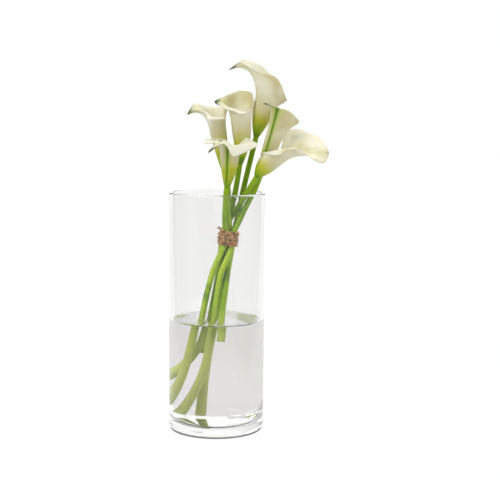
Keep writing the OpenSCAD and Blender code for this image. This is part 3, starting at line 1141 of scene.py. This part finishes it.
@dataclass
class StudioCamera:
    """The camera at the photograph's place; its aim and lens come from the image points."""

    place: Triple = (41.4, -1450.0, 407.4)
    tilt: float = 0.1235
    roll: float = 0.0091
    lens: float = 83.77
    sensor: float = 36.0
    search: tuple[int, int] = (600, 900)
    search_step: float = 0.002
    camera: Object = field(init=False)

    def build(self) -> Object:
        """Returns the camera, made the scene's own."""
        data = bpy.data.cameras.new("photo_camera")
        data.lens, data.sensor_width = self.lens, self.sensor
        data.clip_start, data.clip_end = 0.01, 50
        ahead = Vector((0, math.cos(self.tilt), -math.sin(self.tilt)))
        up = Vector((0, math.sin(self.tilt), math.cos(self.tilt)))
        right = Vector((1, 0, 0))
        side, over = turned(right, up, self.roll), turned(up, -right, self.roll)
        self.camera = add_object("photo_camera", data)
        turn = Matrix((side, over, -ahead)).transposed().to_4x4()
        self.camera.matrix_world = Matrix.Translation(Vector(self.place) * MM) @ turn
        bpy.context.scene.camera = self.camera
        return self.camera

    def ray(self, x: float, y: float) -> tuple[Vector, Vector]:
        """The start and direction of the ray through an image point."""
        half = IMAGE_SIDE / 2
        way = Vector((x - half, half - y, -IMAGE_SIDE * self.lens / self.sensor))
        world = self.camera.matrix_world
        return world.translation.copy(), unit(world.to_3x3() @ way)

    def see(self, point: Vector) -> Pair:
        """Where a point in metres shows, in the photograph's pixels."""
        local = self.camera.matrix_world.inverted() @ point
        scale = IMAGE_SIDE * self.lens / self.sensor / -local.z
        half = IMAGE_SIDE / 2
        return half + local.x * scale, half - local.y * scale

    def land(self, name: str, carriers: Sequence[Object]) -> Vector:
        """Where the ray through an image point meets what carries a fitting.

        Args:
            name: the image point.
            carriers: finished pieces.

        Returns:
            The place in metres: the nearest hit, or the carrier's place nearest the ray.
        """
        start, way = self.ray(*IMAGE_POINTS[name])
        graph = bpy.context.evaluated_depsgraph_get()
        hits, near = [], []
        for carrier in carriers:
            tree = BVHTree.FromObject(carrier, graph)
            hit = tree.ray_cast(start, way)
            if hit[0] is not None:
                hits.append((hit[3], hit[0]))
            spots = (start + way * t * self.search_step for t in range(*self.search))
            closest = min(map(tree.find_nearest, spots), key=lambda found: found[3])
            near.append((closest[3], closest[0]))
        return min(hits or near, key=lambda found: found[0])[1]


def write_points(camera: StudioCamera, pieces: Sequence[Object]) -> None:
    """Works out where every vertex of the shown pieces shows, in the photograph's pixels.

    Args:
        camera: the built camera.
        pieces: every shown piece.
    """
    graph = bpy.context.evaluated_depsgraph_get()
    spots = []
    for piece in pieces:
        mesh = piece.evaluated_get(graph).data
        spots += [camera.see(piece.matrix_world @ vert.co) for vert in mesh.vertices]


class LampSide(Enum):
    """Where a soft light stands, as seen by the camera: place and size in metres."""

    KEY = ((-1.3, -1.2, 1.9), 1.4)
    FILL = ((1.7, -0.9, 1.1), 1.6)
    BACK = ((0.4, 1.7, 1.7), 1.6)


@dataclass
class Studio:
    """White light from behind and below, and pale grey at the camera's side and the flanks.

    The grey is what the clear glass mirrors, so that it shows against the white behind it. Each light that
    is under 1 has a pair that says where it starts and is reached: for the surroundings as a share of the
    way's length, for the floor in metres.
    """

    side: float = 0.55
    side_from: Pair = (0.72, 0.93)
    left: float = 0.85
    left_from: Pair = (0.2, 0.6)
    front: float = 0.55
    front_from: Pair = (0.0, 0.35)
    # Painted shadow under the vase: the floor's glow there, and the radii where it gives way to full glow.
    under: float = 0.15
    under_shadow_to: Pair = (0.056, 0.0595)
    edge: float = 0.55
    near_from: Pair = (0.33, 0.8)
    flank_from: Pair = (0.35, 0.55)
    slant: float = 0.8
    floor_r: float = 14.0
    air_gap: float = 0.3
    aim: Triple = (0.0, 0.0, 0.25)
    powers: dict[LampSide, float] = field(
        default_factory=lambda: {LampSide.KEY: 30.0, LampSide.FILL: 12.0, LampSide.BACK: 8.0}
    )

    def world(self) -> None:
        """Sets the surroundings: white behind, dimmer on the left, grey at the sides and in front."""
        world = bpy.data.worlds.new("soft_room")
        bpy.context.scene.world = world
        world.use_nodes = True
        nodes = Nodes(world.node_tree)
        across, back = nodes.split(nodes.add("TexCoord").outputs["Generated"])[:2]
        sides = nodes.fall(nodes.math("ABSOLUTE", across), *self.side_from, self.side)
        left = nodes.fall(nodes.times(across, -1.0), *self.left_from, self.left)
        front = nodes.fall(nodes.times(back, -1.0), *self.front_from, self.front)
        light = nodes.times(nodes.math("MINIMUM", sides, front), left)
        sky = world.node_tree.nodes["Background"]
        nodes.feed(sky, "Color", WHITE)
        nodes.feed(sky, "Strength", light)

    def floor(self) -> Object:
        """Returns the floor: a wide pale disc that glows, with a painted shadow under the vase, greyer at the
        sides and in front.

        It lies just under the glass, which leaves the thin air gap that a real foot has.
        """
        bm = bmesh.new()
        bmesh.ops.create_circle(bm, cap_ends=True, segments=96, radius=self.floor_r)
        bmesh.ops.translate(bm, vec=(0, 0, -self.air_gap * MM), verts=bm.verts[:])
        nodes = Surface("pale_floor")
        across, back = nodes.split(nodes.place)[:2]
        behind = nodes.math("MAXIMUM", back, 0.0)
        aside = nodes.math("MULTIPLY_ADD", behind, -self.slant, nodes.math("ABSOLUTE", across))
        nodes.set(Base_Color=(0.02, 0.02, 0.02, 1.0), Roughness=0.9, Specular_IOR_Level=0.0)
        reach = nodes.add("VectorMath", {0: nodes.place}, operation="LENGTH").outputs[1]
        # Painted shadow: the glow falls to the share under near the vase's foot.
        under = nodes.step(reach, *self.under_shadow_to)
        under = nodes.math("MULTIPLY_ADD", under, 1.0 - self.under, self.under)
        near = nodes.fall(nodes.times(back, -1.0), *self.near_from, self.edge)
        flank = nodes.fall(aside, *self.flank_from, self.edge)
        glow = nodes.times(under, nodes.math("MINIMUM", near, flank))
        nodes.set(Emission_Color=WHITE, Emission_Strength=glow)
        floor = finish_mesh(bm, "floor", [nodes.material])
        return floor

    def lamps(self) -> None:
        """Adds the soft lights, each aimed at the vase."""
        for lamp, power in self.powers.items():
            place, size = lamp.value
            data = bpy.data.lights.new(lamp.name.lower(), "AREA")
            data.energy, data.size = power, size
            light = add_object(lamp.name.lower(), data)
            light.location = place
            light.rotation_euler = (Vector(self.aim) - Vector(place)).to_track_quat("-Z", "Y").to_euler()

    def build(self) -> None:
        """Builds the whole studio."""
        bpy.context.scene.view_settings.view_transform = "Standard"
        self.world()
        self.floor()
        self.lamps()


# ---- Building --------------------------------------------


def loose_end(camera: StudioCamera, twine: Twine, stalks: Sequence[Object]) -> list[Vector]:
    """The twine's loose end, from the binding's top out to its image point."""
    end = camera.land("twine_end", stalks) / MM
    half = twine.turns * twine.pitch / 2
    top = twine.wind(-0.2, (half + 0.4, half + 1.2), 1.2, 0.2, 0.62)
    start, goal = top[-1], end + Vector(twine.end_off)
    middle = mix(start, goal, 0.5) + Vector(twine.end_arch)
    return top + [bow(i / 12, start, middle, goal) for i in range(1, 13)]


def main() -> None:
    """Builds the studio and every piece, then works out where their points show in the image."""
    camera = StudioCamera()
    camera.build()
    Studio().build()
    vase = Vase()
    water = Water(vase)
    lines = (water.level * MM, vase.height * MM)
    pieces = [
        vase.build(ClearFinish("clear_glass", 1.5, (250, 250, 249), *lines).build()),
        water.build(ClearFinish("clear_water", 1.333, (232, 230, 231), *lines).build()),
    ]
    tie = Bundle(vase)
    flowers = bouquet(tie)
    plain, inside = PetalFinish("petal_outside").build(), PetalFinish("petal_inside", inside=True).build()
    ribbed = PetalFinish("petal_ribbed", rib_at=0.232, rib_strength=0.9, rib_width=0.055).build()
    wide = PetalFinish("petal_wide", tip_at=0.96, rib_strength=0.1).build()
    outside = {"front": (ribbed, inside), "rear": (ribbed, inside), "right": (wide, wide)}
    skin, cut, pollen = StemFinish().build(), PithFinish().build(), SpikeFinish().build()
    stalks = [flower.build_stem(skin, cut) for flower in flowers]
    for flower in flowers:
        pieces.append(flower.build_petal(*outside.get(flower.name, (plain, inside))))
        pieces.append(flower.build_spike(pollen))
    twine = Twine(tie)
    tail = loose_end(camera, twine, stalks)
    pieces += [*stalks, twine.build(JuteFinish().build(), tail)]

    seen = {flower.name + "_tip": flower.on_petal(0, 1) * MM for flower in flowers}
    half_wall = vase.wall / 2
    spots = {
        "rim_left": (-vase.outer, 0, vase.height - half_wall),
        "rim_right": (vase.outer, 0, vase.height - half_wall),
        "rim_back": (0, vase.outer - half_wall, vase.height),
        "rim_front": (0, half_wall - vase.outer, vase.height),
        "water_back": (0, vase.bore, water.level),
        "water_front": (0, -vase.bore, water.level),
        "twine_end": tail[-1],
    }
    seen |= {name: Vector(spot) * MM for name, spot in spots.items()}
    write_points(camera, pieces)


if __name__ == "__main__":
    main()
